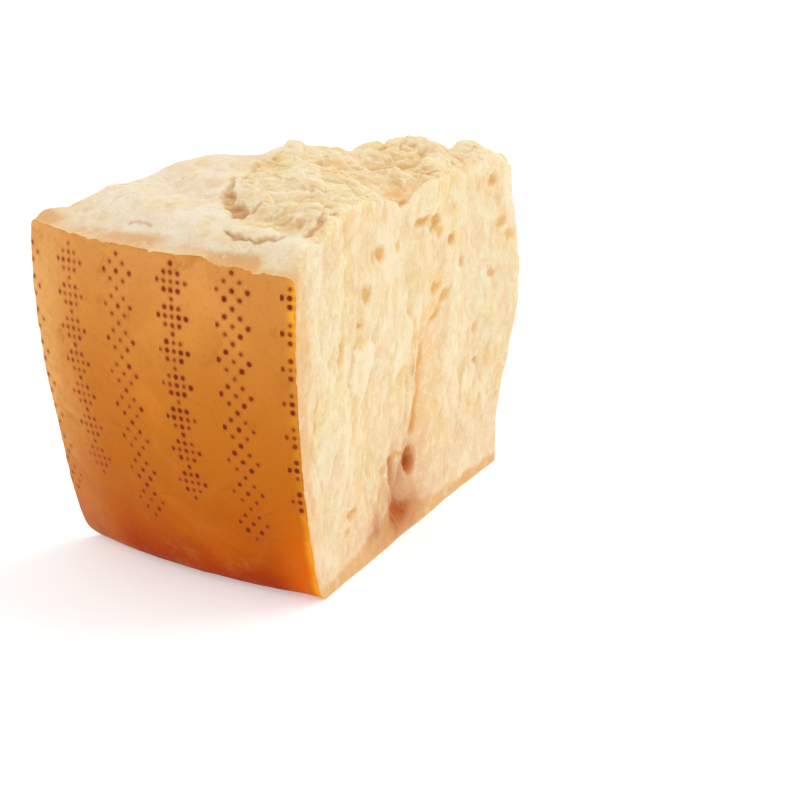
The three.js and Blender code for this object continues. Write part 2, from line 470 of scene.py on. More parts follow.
marks = {
    "firstColumn": -16.5,  # degrees from the middle to the left edge of the first column
    "columnPitch": 5.93,  # degrees
    "firstDot": 0.15,  # degrees from a column's left edge to its first dot
    "dotPitch": 0.726,  # degrees
    "half": 2,  # dots to each side of a lozenge's middle
    "topRow": 111 * mm,
    "rowPitch": 2.8 * mm,
    "longRows": 32.5,
    "shortRows": 28.5,
    "dotRadius": 0.66 * mm,
    "size": [("angle", -16, 6, 0.82, 1.1), ("draw", 0, 1, 0.78, 1.18)],  # times the radius
    "softness": 0.28 * mm,
    "haloReach": 1.2 * mm,
    "jitter": 0.22,  # of the pitch
    "jitterLump": 4 * mm,
}


def lozengeMarks(tree, place, fields):
    jitter = parted(tree, texture(tree, "Noise", place, Scale=1 / marks["jitterLump"])["Color"])
    columnPlace = minus(tree, fields["angle"], marks["firstColumn"])
    columnPlace = calc(tree, "DIVIDE", columnPlace, marks["columnPitch"])
    column = calc(tree, "FLOOR", columnPlace)
    within = times(tree, calc(tree, "FRACT", columnPlace), marks["columnPitch"])
    across = calc(tree, "DIVIDE", minus(tree, within, marks["firstDot"]), marks["dotPitch"])
    across = swayed(tree, across, jitter[0], marks["jitter"])
    down = calc(tree, "DIVIDE", minus(tree, marks["topRow"], fields["height"]), marks["rowPitch"])
    down = swayed(tree, down, jitter[1], marks["jitter"])
    half = marks["half"]
    dot = calc(tree, "MINIMUM", calc(tree, "MAXIMUM", calc(tree, "ROUND", across), 0), 2 * half)
    row = calc(tree, "ROUND", down)
    # each lozenge is four rows long: its half width in dots is 0, 1, 2, 1
    phase = minus(tree, calc(tree, "FLOORED_MODULO", row, 2 * half), half)
    phase = calc(tree, "ABSOLUTE", phase)
    halfWidth = minus(tree, half, phase)
    fromMiddle = calc(tree, "ABSOLUTE", minus(tree, dot, half))
    filled = calc(tree, "LESS_THAN", fromMiddle, calc(tree, "ADD", halfWidth, 0.5))
    outline = calc(tree, "ABSOLUTE", minus(tree, fromMiddle, halfWidth))
    outline = calc(tree, "LESS_THAN", outline, 0.5)
    centre = calc(tree, "LESS_THAN", calc(tree, "ADD", fromMiddle, phase), 0.5)
    outline = calc(tree, "MAXIMUM", outline, centre)
    # odd columns are shorter, with filled lozenges, and even ones have open lozenges
    odd = calc(tree, "FLOORED_MODULO", column, 2)
    even = minus(tree, 1, odd)
    shown = calc(tree, "MULTIPLY_ADD", odd, filled, times(tree, even, outline))
    lastRow = calc(tree, "MULTIPLY_ADD", odd, marks["shortRows"] - marks["longRows"], marks["longRows"])
    shown = times(tree, shown, calc(tree, "GREATER_THAN", row, -0.5))
    shown = times(tree, shown, calc(tree, "LESS_THAN", row, lastRow))
    sideways = math.radians(marks["dotPitch"]) * wheel["radius"]
    awayX = times(tree, minus(tree, across, dot), sideways)
    awayZ = times(tree, minus(tree, down, row), marks["rowPitch"])
    away = calc(tree, "MULTIPLY_ADD", awayX, awayX, times(tree, awayZ, awayZ))
    away = calc(tree, "SQRT", away)
    # every dot has its own size and darkness
    seed = tree.nodes.new("ShaderNodeCombineXYZ")
    for socket, value in zip(seed.inputs, (column, dot, row)):
        tree.links.new(value, socket)
    fields["draw"] = texture(tree, "WhiteNoise", seed.outputs[0])["Value"]
    size = times(tree, product(tree, fields, marks["size"]), marks["dotRadius"])
    edge = minus(tree, size, away)
    mask = ranged(tree, edge, -marks["softness"], marks["softness"])
    halo = ranged(tree, edge, -marks["haloReach"], 0)
    fields["dots"] = times(tree, mask, shown)
    fields["halo"] = times(tree, halo, shown)


def rindMaterial():
    material, tree, shader = newMaterial("rind")
    place, axes = objectPlace(tree)
    fields = {name: noiseField(tree, place, *values) for name, values in rindNoise.items()}
    fromAxisX = minus(tree, axes[0], wheel["axisX"])
    fromAxisY = minus(tree, wheel["axisY"], axes[1])
    fields["angle"] = calc(tree, "DEGREES", calc(tree, "ARCTAN2", fromAxisX, fromAxisY))
    fields["height"] = axes[2]
    fields["rimEdge"] = swayed(tree, fields["angle"], fields["stainAndShade"], rindSet["rimReach"])
    fields["ends"] = mostOf(tree, fields, rindSet["ends"])
    lozengeMarks(tree, place, fields)
    rampHeight = swayed(tree, fields["height"], fields["clouds"], rindSet["cloudReach"])
    colour = colourRamp(tree, rampHeight, rindLook["heights"])
    colour = blendColour(tree, product(tree, fields, rindSet["dull"]), colour, rindLook["dull"])
    brighter = product(tree, fields, rindSet["bright"])
    colour = blendColour(tree, brighter, colour, rindLook["bright"], "MULTIPLY")
    colour = layered(tree, colour, fields, rindLook, rindLayers)
    skin = bump(tree, fields["fine"], *rindSet["fineBump"])
    skin = bump(tree, fields["stainAndShade"], *rindSet["stainBump"], skin)
    skin = bump(tree, minus(tree, 1.0, fields["dots"]), *rindSet["dotBump"], skin)
    finishShader(tree, shader, fields, colour, skin, rindSet)
    return material


# The visible wedge: the CAD solid's own form, smoothed, with the fine breaks worked in
body = {
    "weld": 0.01 * mm,
    "joinFlat": 0.5,  # radians between two triangles that may join
    "joinShape": 1.2,
    "levels": 2,  # subdivision of the CAD form
    "topFace": 0.45,  # faces that look up more than this are divided once more
    "cutFlakes": ((14, 0.8), (6, 0.3), (2.8, 0.16)),  # size and depth, in millimetres
    "cutClods": ((17, 0.5),),
    "cutSwell": (26, 0.7, 2),  # slow noise: size, depth and octaves
    "topFlakes": ((11, 0.8), (4.6, 0.55), (2.2, 0.36)),
    "topClods": ((19, 1.8), (8.5, 1.1)),
    "topSwell": (11, 0.6, 3),
    "chalkFlakes": ((24, 0.7), (9, 0.35), (3.2, 0.2)),
    "rindSwell": (8, 0.14, 3),
    "still": 0.2 * mm,  # nothing as low as this moves
    "upright": 1.35,  # how much longer the cuts' flakes are upright than along
    "rindCalm": (0.2, 2, 14),  # relief left beside the rind, and from where to where it grows to full
    "footCalm": (0.25, 3, 13),  # and above the foot
    "thinCalm": (0.35, 8, 30),  # and on the top towards the thin end
    "shellCalm": 0.3,  # and in the shell breaks
    "cragFade": 5,
    "topUp": (0.3, 0.8),  # how far the top looks up: from cut to top
    "topFrom": (50, 75),  # nothing below this counts as top
    "topRim": (-0.5, 3.5),  # relief of the top starts this far from the rind
    "leftPeach": (12, -0.4, 0.3),  # patches of the left shell break: size and noise values
    "leftShare": 0.7,
    # patches and least share of the painted shadow and glow
    "shadowAndGlowPatch": (6, -0.35, 0.2),
    "shadowAndGlowLeast": 0.7,
    "cutWarmShade": 0.1,
    "hollowPasses": ((3, 0.35), (14, 0.9)),  # smoothing steps, and the depth that counts in full
    "hollowShare": 0.6,
}
# Chips: crisp ones on the cuts a little inside the rind, and the nibbled edges of the rind itself
chips = {
    "middle": 7,  # distance from the rind where they are strongest, and their reach
    "reach": 4.5,
    "least": 0.05,
    "flakes": ((4.2, 0.6), (2, 0.28)),
    "upright": 1.8,
    "swell": (5, 1, 3),
    "fine": ((1.7, 0.5),),
    "edge": 1.3,  # how far the rind's broken upper edge is nibbled
    "edgeFrom": 100,  # height and degrees that end this edge
    "edgeSide": 14.2,
    "side": 0.8,  # and its upright edges
    "sideRagged": (0.9, 0.1),
    "sideFrom": (6, 20),
    "relief": 0.15,  # share of the surface's relief that the edges get
}
# Noise that bends lines and borders: the size and amount of each wave
sway = {
    "cragEdge": ((15, 4), (5, 2.5)),
    "shellAlong": ((8, 1.6),),
    "shellUp": ((11, 3),),
    "pit": ((3, 0.4), (1.3, 0.2)),
    "crack": ((7, 1.8),),
    "crackWidth": ((4, 0.5),),
    "scoop": ((9, 1.2),),
    "crevice": ((6, 1.6), (2.2, 0.8)),
    "creviceWidth": ((5, 0.6),),
    "beside": ((12, 3),),
    "footBand": ((9, 1.5),),
}
# Colour along the edges: where each strip starts and ends to fade, in millimetres from the rind
edges = {
    "side": (12.8, 13.8),  # degrees where the front slope of the top ends and the cuts start
    "slope": 16,  # how far it reaches from the rind
    "blush": (1, 16),
    "chalk": (0.5, 4),
    "lip": (5, 3),  # the tan upper lip: wide to the left of these degrees, narrow to their right
    "lipTurn": (2, 6),
    "lipFade": 1.6,  # times its width
    "seam": (0.5, 1.8),  # a thin tan seam all along the top
    "seamShare": 0.5,
    "beside": 5.5,  # the tan strip along the cuts' upright edges
    "besideFade": 2.2,
    "cutSeam": (0.5, 3),
    "cutSeamShare": 0.8,
    "band": 4.5,  # height of the tan band along the foot, with a swell in the middle of the cuts
    "bandSwell": 8,
    "bandMiddle": 120,
    "bandReach": 34,
    "bandFade": (-1, 1.5),
}
# Where the smooth front of the top turns rough: degrees from the middle, distance from the axis
cragEdge = [(-14.5, 112), (-11, 122), (-7.4, 138), (-3.3, 155), (-0.8, 169), (1.5, 182), (4, 191), (6.5, 204),
            (9.5, 206.5), (12, 206), (14.5, 203)]
# Shallow cavities of the right cut: distance from the axis, height, reach along and up, depth
cutPits = [
    (144, 107.3, 4.6, 2.4, 0.9), (125, 107, 3.4, 2.2, 0.5), (154.5, 96, 3.4, 3.2, 0.8),
    (100, 111.5, 7, 1.8, 1.1), (88.5, 109.5, 5, 3.2, 1.3), (84, 106, 2.4, 2.4, 0.6),
    (69.5, 100.6, 4.2, 2.1, 0.9), (18, 99.6, 4.5, 2, 0.5), (13, 94, 4.5, 2.6, 0.6),
    (26, 81, 3.6, 2.6, 0.5), (74, 82, 5, 3, 0.7), (85, 86, 4, 2.4, 0.6),
    (103, 70, 2.6, 3, 0.5), (178, 82, 2.4, 4.4, 0.4), (56, 90, 4, 2.4, 0.4),
    (95.5, 24, 3.4, 4.4, 2.2), (116, 20, 5, 7, 1.5), (110, 8, 10, 4, 1.2),
]
# Cracks of the right cut, along the steep side of its shell break: ends, then width and depth
cutCracks = [
    ((77, 77), (86, 72), 1.2, 0.7), ((90, 66), (91, 50), 1.5, 0.7), ((91, 50), (95, 33), 1.5, 0.8),
    ((127, 33.5), (110, 31), 1.1, 0.8), ((127, 34), (124, 22), 1.4, 1.8),
    ((124, 23), (113, 9), 1.8, 2.2),
]
# Long smooth shell breaks of the two cuts, as in the CAD solid: calm and peach coloured
shells = {
    1: {"foot": 108, "lean": 0.17, "width": 31, "low": 8, "high": 84},
    -1: {"foot": 74, "lean": -0.12, "width": 24, "low": 30, "high": 100},
}
# Crevices of the top: ends as degrees from the middle and distance from the axis, then width and depth
crevices = [
    ((-7.4, 136), (-3.3, 153), 1.3, 0.8), ((-3.3, 153), (-0.9, 168), 1.6, 1.2),
    ((-0.9, 168), (0.3, 176), 2, 1.6), ((0.2, 174), (2, 180.7), 2.6, 1.9),
    ((2, 181), (5.6, 185.8), 2.6, 1.9), ((5.6, 185.6), (6.6, 181), 0.9, 0.8),
    ((6.2, 205.4), (9.5, 207.2), 0.8, 1.2), ((9.5, 207.2), (11.8, 207), 0.8, 1.2),
    ((11.8, 207), (13, 200.5), 0.8, 0.9), ((9.6, 190.6), (10.8, 191), 1.2, 0.7),
    ((11.4, 192), (12.4, 191.6), 1.1, 0.7), ((13.2, 198), (14, 190), 1, 0.9),
    ((14, 190), (13.8, 178), 0.9, 0.8), ((-4.4, 205), (-1.2, 206), 0.7, 0.6),
    ((-5.4, 108), (-3.4, 112), 1.6, 1.2), ((0.2, 112), (1.8, 119), 1.4, 1.2),
    ((3.8, 126), (4.9, 131), 1.2, 0.8), ((8.4, 97), (13.8, 80.5), 1.2, 0.9),
    ((11.6, 119), (13.8, 112), 1.6, 1.2), ((-6.4, 78), (-7, 69), 1.4, 0.9),
    ((-13.6, 71), (-12.6, 66), 1.4, 0.9),
]
# Mounds and dips of the top: degrees from the middle, distance from the axis, reach and height
mounds = [
    (0, 131, 8, 1.2), (5.5, 153, 7, 1.2), (-8, 115, 8, 1), (6, 179.5, 4, 0.8), (7.8, 173, 4, 0.8),
    (10, 203.5, 4, 0.8), (3.5, 41.5, 6, -1.4), (1.1, 58.7, 4, -0.8), (-14, 54, 4.5, 2.2),
    (-14.5, 44.5, 4, -2.4), (-14.5, 35, 4, -1.2), (-14.5, 89, 6, -2), (-14.5, 116, 5, 1.4),
    (-14, 12, 6, 1.4), (-14.5, 197, 7, -1.8), (-14, 209, 5, 1.6),
]
# Smooth slanting faces of the top, steep on their far side and tinted peach as painted shade: ends, then
# width and depth
scoops = [
    ((10.8, 137), (13, 96), 7, 2.2), ((-2.6, 94), (5, 74), 5.5, 1.8),
    ((-10, 100), (-6, 88), 3.6, 0.9),
]
# Painted shade, warm as the paste's shade is, in hollows and on faces turned from the light, in places of the
# top:
# degrees from the middle, distance from the axis, reach and share
warmShadeTop = [
    (-9, 135, 8, 0.5), (-5, 143, 7, 0.55), (-1.5, 160, 5, 0.5), (6, 121, 7, 0.35),
    (7.4, 139, 5, 0.35), (1.1, 58.7, 5, 0.6), (0.1, 41.7, 5, 0.6), (7.1, 41.2, 6, 0.6),
    (-4.5, 35.8, 4, 0.5), (11.5, 112, 6, 0.35), (12.5, 115, 4, 0.75), (0.5, 83, 6, 0.35),
    (11, 88, 5, 0.5), (10.8, 191, 4, 0.2), (14, 194, 4, 0.5), (-7, 72, 4, 0.4), (-13.5, 206, 6, 0.4),
    (-1.5, 110, 5, 0.9), (9.8, 53, 6, 0.8), (9.4, 113.6, 5, 0.6), (11, 107, 6, 0.5),
    (13.4, 95.5, 4, 0.7), (5.5, 103.4, 5, 0.5), (9.9, 172.5, 4, 0.6), (8.2, 206.6, 2.2, 0.8),
    (10.4, 207.4, 2.2, 0.9), (11.7, 110.3, 3.5, 0.8), (12.1, 99.4, 3.5, 0.6), (10.6, 62, 4, 0.4),
    (-0.7, 35.8, 4, 0.7), (-9.6, 160, 7, 0.4),
]
# and of the right cut, with the painted shadow of a second, loose wedge near the hole: distance from the
# axis, height, reach along and up, share
warmShadeCut = [
    (144, 107, 5, 3.5, 0.5), (81, 95, 5, 11, 0.55), (78, 79, 6, 5, 0.6), (101, 89, 4, 3, 0.4),
    (90, 57, 3.4, 11, 0.75), (92, 42, 4, 9, 0.85), (112, 24, 8, 6, 0.6), (112, 11, 10, 5, 0.6),
    (157, 97, 4, 4, 0.4), (166, 87, 3, 7, 0.45), (177, 80, 3, 8, 0.45), (47, 115, 6, 6, 0.6),
    (91, 110, 4, 3, 0.4), (181, 121, 5, 3, 0.5), (16, 97, 7, 4, 0.4), (87, 109.3, 5, 3.5, 0.6),
    (97, 124, 5, 3, 0.5), (39.5, 116, 5, 4, 0.8), (51, 117.5, 5, 4, 0.8), (158, 91, 4, 8, 0.4),
    (189, 91, 4, 7, 0.4), (108, 60, 3.5, 13, 0.6), (109, 48, 4, 8, 0.6), (112, 40, 5, 8, 0.8),
    (124, 38, 7, 8, 0.6), (130, 45, 7, 9, 0.45), (138, 28, 8, 8, 0.35), (134, 19, 7, 8, 0.5),
    (118, 44, 7, 8, 0.5), (124, 32, 6, 7, 0.7), (131, 21, 7, 8, 0.6), (142, 15, 8, 8, 0.4),
]
# Painted shadow of a second, loose wedge against the right cut and painted glow of light shining through thin
# paste beside the hole, as above
shadowAndGlowCut = [
    (96, 24.5, 4.2, 6, 1.4), (93.5, 36, 2.2, 5, 0.4), (110, 21, 18, 13, 0.8), (125, 29, 5, 8, 0.5),
    (118, 16, 9, 9, 0.8), (110, 9, 20, 9, 0.95), (135, 11, 10, 8, 0.6), (104.3, 60, 1.6, 4, 0.5),
    (104, 54, 1.4, 5, 0.35), (112, 45, 1.8, 3.5, 0.5), (109, 39, 2.4, 5, 0.4), (113, 33, 5, 6, 0.55),
    (101, 20, 5, 6, 0.4),
]
# Whiter places, partly crumblier paste and partly painted highlights and painted light on faces turned from
# the light and towards the thin end: of the top, then of the right cut
paleAndLitTop = [
    (1, 139, 6, 0.8), (6.5, 152, 8, 0.7), (-8.7, 115, 6, 0.5), (8.2, 202, 4, 0.8),
    (10.8, 205, 4, 0.9), (11.2, 197, 3.5, 0.7), (4, 176, 4, 0.5), (13, 211, 6, 0.9), (10, 95, 4, 0.6),
    (13, 70, 8, 0.5), (7.5, 172, 4, 0.5), (12.5, 211, 6, 0.9), (4.5, 181, 5, 0.6),
    (11.8, 198.5, 4, 0.5), (-1, 59, 5, 0.6), (-8, 62, 6, 0.6), (2, 35, 6, 0.6), (0, 6, 9, 0.9),
    (-5.4, 121.3, 5, 0.6), (-8, 107, 7, 0.8), (11.2, 187.5, 4, 0.8), (-7.3, 86.4, 5, 0.7),
    (-0.5, 59.6, 4, 0.8), (-3.8, 30.1, 5, 0.8),
]
paleAndLitCut = [
    (200, 100, 5, 12, 0.7), (188, 86, 6, 12, 0.6), (187, 50, 7, 22, 0.4), (176, 24, 10, 14, 0.3),
    (150, 60, 14, 16, 0.25), (120, 90, 14, 12, 0.3), (38, 88, 26, 26, 0.6), (60, 56, 8, 22, 0.6),
    (8, 113, 8, 12, 0.9), (24, 76, 10, 22, 0.7), (168, 50, 6, 12, 0.6), (164, 114, 8, 5, 0.6),
    (145, 65, 6, 8, 0.4), (203, 60, 4, 30, 0.6), (205, 18, 4, 12, 0.5),
]
# How tan the rind's thickness shows along its upper edge: degrees from the middle and share
tanEdge = [(-14.5, 0.9), (-12, 0.9), (-11, 0.4), (-9.5, 0.4), (-8.4, 0.8), (-7.4, 0.6), (-6, 0.5), (-5, 0.8),
           (0, 0.9), (2, 0.1), (3, 0.2), (4.5, 0.45), (5.6, 0.5), (6.8, 0.95), (10.8, 0.9), (11.6, 0.05),
           (14.5, 0.1)]
# and along the cuts' upright edges: height and share
tanBeside = [(0, 0.1), (26, 0.15), (34, 0.5), (44, 0.8), (60, 0.75), (73, 0.55), (88, 0.4), (102, 0.25),
             (112, 0)]


# Which faces of the CAD solid are rind, by the way they look and how near they are to the wheel's outline
rindFace = {"down": 0.9, "foot": 1 * mm, "outward": 0.5, "up": 0.2, "near": 4 * mm}


def isRind(face):
    centre = face.calc_center_median()
    angle, radius, height = wheelPlace(centre)
    if face.normal.z < -rindFace["down"] and height < rindFace["foot"]:
        return True
    turn = math.radians(angle)
    outward = face.normal.x * math.sin(turn) - face.normal.y * math.cos(turn)
    near = abs(radius - rindRadius(height)) < rindFace["near"]
    return outward > rindFace["outward"] and face.normal.z < rindFace["up"] and near


def smoothForm():
    form = bmesh.new()
    form.from_mesh(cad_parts["cheese"].data)
    bmesh.ops.remove_doubles(form, verts=form.verts, dist=body["weld"])
    for face in form.faces:
        face.material_index = 1 if isRind(face) else 0
        face.smooth = True
    bmesh.ops.join_triangles(form, faces=form.faces, cmp_materials=True,
                             angle_face_threshold=body["joinFlat"], angle_shape_threshold=body["joinShape"])
    crease = form.edges.layers.float.new("crease_edge")
    for edge in form.edges:
        if len({face.material_index for face in edge.link_faces}) > 1:
            edge[crease] = 1.0
    mesh = bpy.data.meshes.new("form")
    mesh.materials.append(pasteMaterial())
    mesh.materials.append(rindMaterial())
    form.to_mesh(mesh)
    form.free()
    holder = addObject("form", mesh)
    subdivide = holder.modifiers.new("smooth", "SUBSURF")
    subdivide.levels = subdivide.render_levels = body["levels"]
    bpy.context.view_layer.update()
    fine = bmesh.new()
    fine.from_object(holder, bpy.context.evaluated_depsgraph_get())
    bpy.data.objects.remove(holder)
    top = [face for face in fine.faces if face.normal.z > body["topFace"] and face.material_index == 0]
    inTop = {edge for face in top for edge in face.edges}
    bmesh.ops.subdivide_edges(fine, edges=list(inTop), cuts=1, use_grid_fill=True, smooth=0.0)
    fine.normal_update()
    return fine, mesh


# Small cavities at random places of the cuts: lowest and highest draws, in millimetres
pitDraw = {
    "seed": 11,
    "number": 7,
    "reach": (1.4, 4.2),
    "rise": (0.45, 0.9),  # times the reach
    "along": (8, 196),
    "height": (16, 118),
    "depth": (0.3, 0.9),
}


def randomPits(side):
    draw = random.Random(pitDraw["seed"] + side)
    pits = []
    for _ in range(pitDraw["number"]):
        reach = draw.uniform(*pitDraw["reach"])
        rise = reach * draw.uniform(*pitDraw["rise"])
        along, height, depth = (draw.uniform(*pitDraw[name]) for name in ("along", "height", "depth"))
        pits.append((along, height, reach, rise, depth))
    return pits


def swell(spot, size, depth, octaves):
    return depth * noise.fractal(spot / size, 1.0, 2.0, octaves)


def wander(spot, waves, offset=(0, 0, 0)):
    return sum(amount * noise.noise(spot / size + Vector(offset)) for size, amount in waves)


def patchy(spot, size, low, high, offset=(0, 0, 0)):
    return smooth(noise.noise(spot / size + Vector(offset)), low, high)


def grows(value, least, low, high):
    return mix(least, 1, smooth(value, low, high))


def fades(value, low, high):
    return 1 - smooth(value, low, high)


# Broken facets and rounded lumps: each cell of the noise has values of its own
flakeSet = {
    "patch": (13, -0.3, 0.45, (5, 2, 8)),  # the small flakes are stronger in patches
    "patchDepth": (0.55, 1.55),  # times their depth
    "bends": ((1.2, 0.22), (3.7, 0.06)),  # their outlines: waves to a flake and their push
    "heightSeed": 3.3,
    "heightShare": 1.2,
    "tiltSeed": 2.1,
    "shadeSeed": 5.7,
    "seam": 0.12,
}
clodSet = {
    "bend": (1.4, 0.3),
    "gaps": (0.8, (7, 1, 4), -0.15, 0.35),  # gaps only between some lumps: waves to a lump, offset and values
    "dome": 0.45,
    "seam": 0.25,
    "seed": 3.3,
    "level": 1.3,
    "round": 0.7,
    "flat": 0.6,  # where there is no gap
    "sink": 0.4,
}


def flakes(spot, sizes):
    # every cell is a small plane with its own height and tilt
    relief = 0.0
    shade = 0.0
    strength = mix(*flakeSet["patchDepth"], patchy(spot, *flakeSet["patch"]))
    for index, (size, depth) in enumerate(sizes):
        if index > 0:
            depth *= strength
        start = spot / size
        place = start
        for wave, push in flakeSet["bends"]:
            place = place + noise.noise_vector(start * wave) * push
        distances, cells = noise.voronoi(place)
        heights = []
        for cell in cells[:2]:
            tilt = noise.noise_vector(cell * flakeSet["tiltSeed"]).dot(place - cell)
            heights.append(noise.noise(cell * flakeSet["heightSeed"]) * flakeSet["heightShare"] + tilt)
        shades = [noise.noise(cell * flakeSet["shadeSeed"]) for cell in cells[:2]]
        share = 0.5 * fades(distances[1] - distances[0], 0, flakeSet["seam"])
        relief += depth * mix(*heights, share)
        shade += depth * mix(*shades, share)
    return relief, shade / sum(depth for _, depth in sizes)


def clods(spot, sizes):
    # rounded lumps with gaps between some of them
    relief = 0.0
    bendWave, bendPush = clodSet["bend"]
    gapWave, gapOffset, gapLow, gapHigh = clodSet["gaps"]
    for size, depth in sizes:
        place = spot / size + noise.noise_vector(spot / size * bendWave) * bendPush
        distances, cells = noise.voronoi(place)
        edge = distances[1] - distances[0]
        gaps = smooth(noise.noise(place * gapWave + Vector(gapOffset)), gapLow, gapHigh)
        dome = 1 - (1 - clamp(edge / clodSet["dome"])) ** 2
        share = 0.5 * fades(edge, 0, clodSet["seam"])
        level = mix(*(noise.noise(cell * clodSet["seed"]) for cell in cells[:2]), share)
        lump = clodSet["round"] * mix(clodSet["flat"], dome, gaps)
        relief += depth * (clodSet["level"] * level + lump - clodSet["sink"])
    return relief


# Outline of a shell break: how it narrows towards its top, and how softly each of its sides ends
shellSet = {"narrowing": 24, "narrow": 0.4, "gentle": (0.15, 0.4), "steep": (1, 1.06), "lowFade": (-3, 5),
            "highFade": 4}


def shellShare(along, height, shell):
    edge = shell["foot"] - shell["lean"] * height
    narrow = shell["high"] - shellSet["narrowing"], shell["high"]
    width = shell["width"] * mix(1, shellSet["narrow"], smooth(height, *narrow))
    across = (along - (edge - width)) / width
    share = smooth(across, *shellSet["gentle"]) * fades(across, *shellSet["steep"])
    below, above = shellSet["lowFade"]
    share *= smooth(height, shell["low"] + below, shell["low"] + above)
    return share * fades(height, shell["high"] - shellSet["highFade"], shell["high"])


def fromAbove(side, radius):
    return Vector((radius * math.sin(math.radians(side)), -radius * math.cos(math.radians(side))))


def nearLine(place, start, end, settings):
    # how far a place is to the left of a line, and 1 beside the line that fades past both its ends
    way = end - start
    offset = place - start
    along = offset.dot(way) / way.length_squared * way.length
    low, high = (way.length + past for past in settings["fadeOut"])
    return way.normalized().cross(offset), smooth(along, *settings["fadeIn"]) * fades(along, low, high)


def tableShare(table, value):
    for (low, first), (high, second) in zip(table, table[1:]):
        if value <= high:
            return mix(first, second, clamp((value - low) / (high - low)))
    return table[-1][1]


# How pits, cracks, scoops and crevices are sunk into the surface and coloured with painted shade
pitSet = {"near": 2.6, "deepen": 1.4, "wall": (0.05, 0.9), "stainAndShade": (0.12, 0.75), "tint": (0.35, 0.45),
          "calm": 0.5}
crackSet = {"fadeIn": (-2, 3), "fadeOut": (-3, 2), "warp": 1.6, "tint": 0.8}
scoopSet = {"fadeIn": (-4, 5), "fadeOut": (-6, 4), "steep": 0.35, "rough": 0.25, "sink": (0, 0.8),
            "colour": (0.2, 0.7)}
creviceSet = {"fadeIn": (-2, 2), "fadeOut": (-2, 2), "left": 0.6, "right": 1.25, "wall": (0.15, 0.75),
              "tint": (0.2, 2.4), "offset": (3, 8, 1)}


def cutBreak(spot, pits, cracks, along, height, fromRind, calm, shell):
    upright = Vector((spot.x, spot.y, spot.z / body["upright"]))
    relief, shade = flakes(upright, body["cutFlakes"])
    relief += clods(upright, body["cutClods"]) + swell(spot, *body["cutSwell"])
    bent = along + wander(spot, sway["shellAlong"]), height + wander(spot, sway["shellUp"])
    inShell = shellShare(*bent, shell)
    relief *= calm * mix(1, body["shellCalm"], inShell)
    chipped = mound(fromRind - chips["middle"], chips["reach"])
    if chipped > chips["least"]:
        relief += chipped * flakes(Vector((spot.x, spot.y, spot.z / chips["upright"])), chips["flakes"])[0]
    warp = wander(spot, sway["pit"])
    # pit carries the painted shade of pits and cracks
    pit = 0.0
    least, growth = pitSet["tint"]
    for pitAlong, pitHeight, reach, rise, depth in pits:
        beside, above = along - pitAlong, height - pitHeight
        if abs(beside) < pitSet["near"] * reach and abs(above) < pitSet["near"] * rise:
            sunk = mound(beside / reach + warp, 1) * mound(above / rise - warp, 1)
            relief -= pitSet["deepen"] * depth * smooth(sunk, *pitSet["wall"])
            pit = max(pit, smooth(sunk, *pitSet["stainAndShade"]) * clamp(least + growth * depth))
    for start, end, width, depth in cracks:
        across, ends = nearLine(Vector((along, height)), Vector(start), Vector(end), crackSet)
        across += wander(spot, sway["crack"]) + crackSet["warp"] * warp
        sunk = mound(across, width * (1 + wander(spot, sway["crackWidth"]))) * ends
        relief -= depth * sunk
        pit = max(pit, crackSet["tint"] * sunk)
    return relief, shade, inShell, pit * mix(pitSet["calm"], 1, calm)


def topBreak(spot, place, crag):
    chalkPart, chalkShade = flakes(spot, body["chalkFlakes"])
    roughPart, roughShade = flakes(spot, body["topFlakes"])
    roughPart += clods(spot, body["topClods"]) + swell(spot, *body["topSwell"])
    scoopShade = 0.0
    for start, end, width, depth in scoops:
        across, ends = nearLine(place, fromAbove(*start), fromAbove(*end), scoopSet)
        across += wander(spot, sway["scoop"])
        within = mound(across, width * (scoopSet["steep"] if across > 0 else 1)) * ends
        roughPart = mix(roughPart, scoopSet["rough"] * roughPart - depth, smooth(within, *scoopSet["sink"]))
        scoopShade = max(scoopShade, smooth(within, *scoopSet["colour"]))
    relief = mix(chalkPart, roughPart, crag)
    for side, radius, reach, height in mounds:
        relief += height * mound((place - fromAbove(side, radius)).length, reach)
    # gap carries the painted shade of the crevices
    gap = 0.0
    least, full = creviceSet["tint"]
    for start, end, width, depth in crevices:
        across, ends = nearLine(place, fromAbove(*start), fromAbove(*end), creviceSet)
        across += wander(spot, sway["crevice"])
        width *= creviceSet["left"] if across > 0 else creviceSet["right"]
        width *= 1 + wander(spot, sway["creviceWidth"], creviceSet["offset"])
        sunk = smooth(mound(across, width) * ends, *creviceSet["wall"])
        relief -= depth * sunk
        gap = max(gap, sunk * clamp(least + depth / full))
    return relief, mix(chalkShade, roughShade, crag), scoopShade * crag, gap


def tintAt(table, along, height):
    return max(share * mound(along - middle, reach) * mound(height - level, rise)
               for middle, level, reach, rise, share in table)


def chippedMove(spot, normal, angle, height, relief):
    # how a vertex on the edge between paste and rind moves
    side = 1 if angle > 0 else -1
    chip = swell(spot, *chips["swell"]) + wander(spot, chips["fine"])
    onEdge = height > chips["edgeFrom"] and abs(angle) < chips["edgeSide"]
    nibble = clamp(chip) * chips["edge"] if onEdge else 0
    turn = math.radians(angle)
    inwards = Vector((-side * math.cos(turn), -side * math.sin(turn), 0))
    steep, least = chips["sideRagged"]
    ragged = clamp(steep * chip + least) * chips["side"] * smooth(height, *chips["sideFrom"])
    return Vector((0, 0, -nibble)) + inwards * ragged + normal * relief * chips["relief"]


